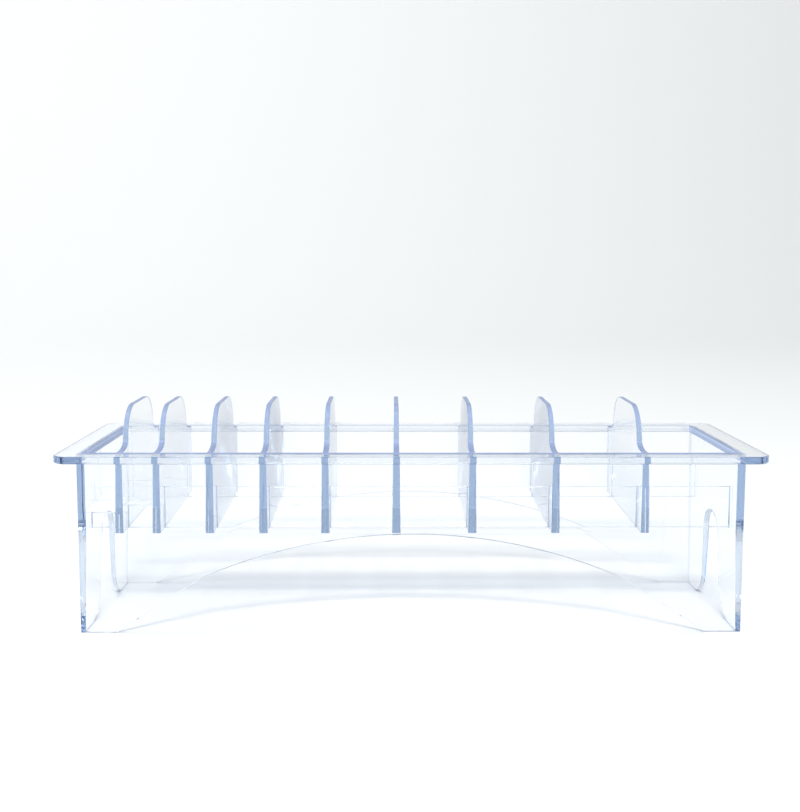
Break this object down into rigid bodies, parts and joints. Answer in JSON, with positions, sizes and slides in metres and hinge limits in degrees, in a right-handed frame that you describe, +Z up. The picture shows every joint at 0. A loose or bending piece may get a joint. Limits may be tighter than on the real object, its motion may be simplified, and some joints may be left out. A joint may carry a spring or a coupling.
{
  "type": "clipper guard rack",
  "caption": "Clear plastic countertop rack that holds hair clipper guards upright in graded slots between rounded dividers, on low rails over an open base with arched sides.",
  "frame": {"origin": "middle of the footprint, on the surface under the four legs", "axes": "+Z up; +X along the long side, towards the wide end; -Y is the front of the rack"},
  "size_m": [0.28, 0.098, 0.0882],
  "materials": {
    "clear_plastic": "clear, polished, with a pale blue edge tint"
  },
  "bodies": {
    "root": {"rim_front": "clear_plastic", "rim_back": "clear_plastic", "rim_left": "clear_plastic", "rim_right": "clear_plastic", "wall_front": "clear_plastic", "wall_back": "clear_plastic", "wall_left": "clear_plastic", "wall_right": "clear_plastic", "leg_front_left": "clear_plastic", "leg_front_right": "clear_plastic", "leg_back_left": "clear_plastic", "leg_back_right": "clear_plastic", "divider_1": "clear_plastic", "divider_2": "clear_plastic", "divider_3": "clear_plastic", "divider_4": "clear_plastic", "divider_5": "clear_plastic", "divider_6": "clear_plastic", "divider_7": "clear_plastic", "divider_8": "clear_plastic", "divider_9": "clear_plastic", "rail_front_1": "clear_plastic", "rail_front_2": "clear_plastic", "rail_front_3": "clear_plastic", "rail_front_4": "clear_plastic", "rail_front_5": "clear_plastic", "rail_front_6": "clear_plastic", "rail_front_7": "clear_plastic", "rail_front_8": "clear_plastic", "rail_front_9": "clear_plastic", "rail_front_10": "clear_plastic", "rail_back_1": "clear_plastic", "rail_back_2": "clear_plastic", "rail_back_3": "clear_plastic", "rail_back_4": "clear_plastic", "rail_back_5": "clear_plastic", "rail_back_6": "clear_plastic", "rail_back_7": "clear_plastic", "rail_back_8": "clear_plastic", "rail_back_9": "clear_plastic", "rail_back_10": "clear_plastic"}
  },
  "joints": []
}
